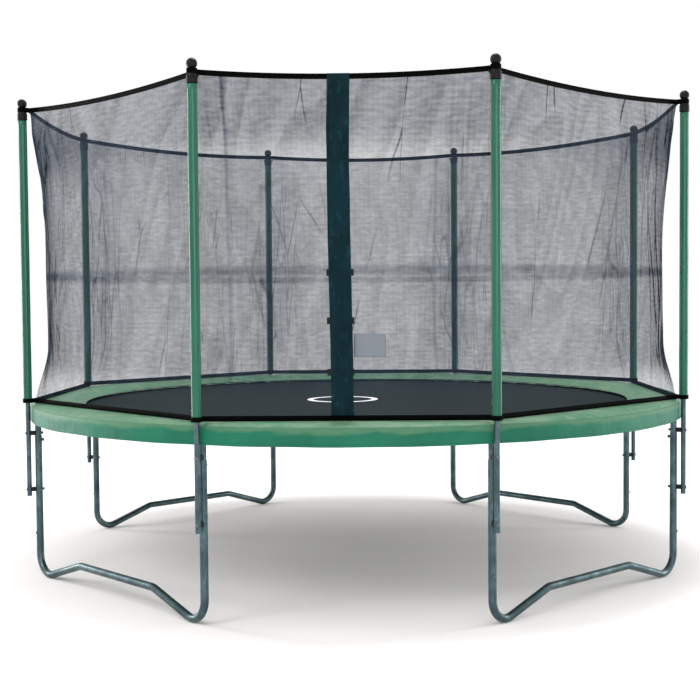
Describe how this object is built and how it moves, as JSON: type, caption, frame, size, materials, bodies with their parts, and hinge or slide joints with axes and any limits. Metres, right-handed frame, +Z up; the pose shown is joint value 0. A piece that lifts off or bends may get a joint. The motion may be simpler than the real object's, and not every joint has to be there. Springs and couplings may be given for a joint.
{
  "type": "trampoline",
  "caption": "Round garden trampoline on W-shaped tube legs, with a sprung black mat, green padded edge, foam-sleeved poles and a tall grey safety net with a zipped entry.",
  "frame": {"origin": "on the ground, below the centre of the frame ring", "axes": "+Z up, entry face towards -Y, +X to the right of someone facing the entry from outside"},
  "size_m": [3.6932, 3.6932, 2.5529],
  "materials": {
    "galvanised_tube": "galvanised, satin",
    "zinc_fastener": "zinc plated",
    "spring_steel": "zinc plated, bright",
    "sleeve_foam": "smooth vinyl over foam",
    "black_plastic": "satin",
    "pad_vinyl": "satin vinyl",
    "skirt_fabric": "matt woven",
    "mat_fabric": "matt woven",
    "black_webbing": "woven webbing",
    "net_mesh": "open mesh",
    "flap_fabric": "matt woven"
  },
  "bodies": {
    "frame": {"bottom_webbing": "black_webbing", "buckle_sockets": "black_plastic", "clamp_bolts": "zinc_fastener", "clamp_nuts": "zinc_fastener", "clamp_spacers": "black_plastic", "entry_flap": "flap_fabric", "entry_zip": "black_plastic", "foam_sleeve_1": "sleeve_foam", "foam_sleeve_2": "sleeve_foam", "foam_sleeve_3": "sleeve_foam", "foam_sleeve_4": "sleeve_foam", "foam_sleeve_5": "sleeve_foam", "foam_sleeve_6": "sleeve_foam", "foam_sleeve_7": "sleeve_foam", "foam_sleeve_8": "sleeve_foam", "frame_rail_1": "galvanised_tube", "frame_rail_2": "galvanised_tube", "frame_rail_3": "galvanised_tube", "frame_rail_4": "galvanised_tube", "frame_rail_5": "galvanised_tube", "frame_rail_6": "galvanised_tube", "frame_rail_7": "galvanised_tube", "frame_rail_8": "galvanised_tube", "leg_base_1": "galvanised_tube", "leg_base_2": "galvanised_tube", "leg_base_3": "galvanised_tube", "leg_base_4": "galvanised_tube", "leg_screws": "zinc_fastener", "leg_sockets": "galvanised_tube", "leg_upright_1": "galvanised_tube", "leg_upright_2": "galvanised_tube", "leg_upright_3": "galvanised_tube", "leg_upright_4": "galvanised_tube", "leg_upright_5": "galvanised_tube", "leg_upright_6": "galvanised_tube", "leg_upright_7": "galvanised_tube", "leg_upright_8": "galvanised_tube", "net_lower": "net_mesh", "net_upper": "net_mesh", "pad_skirt": "skirt_fabric", "pole_caps": "black_plastic", "pole_lower_1": "galvanised_tube", "pole_lower_2": "galvanised_tube", "pole_lower_3": "galvanised_tube", "pole_lower_4": "galvanised_tube", "pole_lower_5": "galvanised_tube", "pole_lower_6": "galvanised_tube", "pole_lower_7": "galvanised_tube", "pole_lower_8": "galvanised_tube", "pole_upper_tubes": "galvanised_tube", "safety_pad": "pad_vinyl", "springs": "spring_steel", "top_webbing": "black_webbing"},
    "mat": {"jumping_mat": "mat_fabric", "mat_hem": "black_webbing", "v_rings": "spring_steel"},
    "slider": {"zip_slider": "black_plastic"},
    "tongue_bottom": {"buckle_tongue_bottom": "black_plastic"},
    "tongue_middle": {"buckle_tongue_middle": "black_plastic"},
    "tongue_top": {"buckle_tongue_top": "black_plastic"}
  },
  "joints": [
    {"name": "mat_bounce", "type": "slide", "parent": "frame", "child": "mat", "axis": [0, 0, 1], "range_m": [-0.25, 0], "stiffness_N_per_m": 5000, "springref_m": 0.02, "deforming": ["springs"]},
    {"name": "zip_travel", "type": "slide", "parent": "frame", "child": "slider", "axis": [0, 0, 1], "range_m": [0, 1.35]},
    {"name": "buckle_release_bottom", "type": "slide", "parent": "frame", "child": "tongue_bottom", "axis": [1, 0, 0], "range_m": [0, 0.034]},
    {"name": "buckle_release_middle", "type": "slide", "parent": "frame", "child": "tongue_middle", "axis": [1, 0, 0], "range_m": [0, 0.034]},
    {"name": "buckle_release_top", "type": "slide", "parent": "frame", "child": "tongue_top", "axis": [1, 0, 0], "range_m": [0, 0.034]}
  ]
}
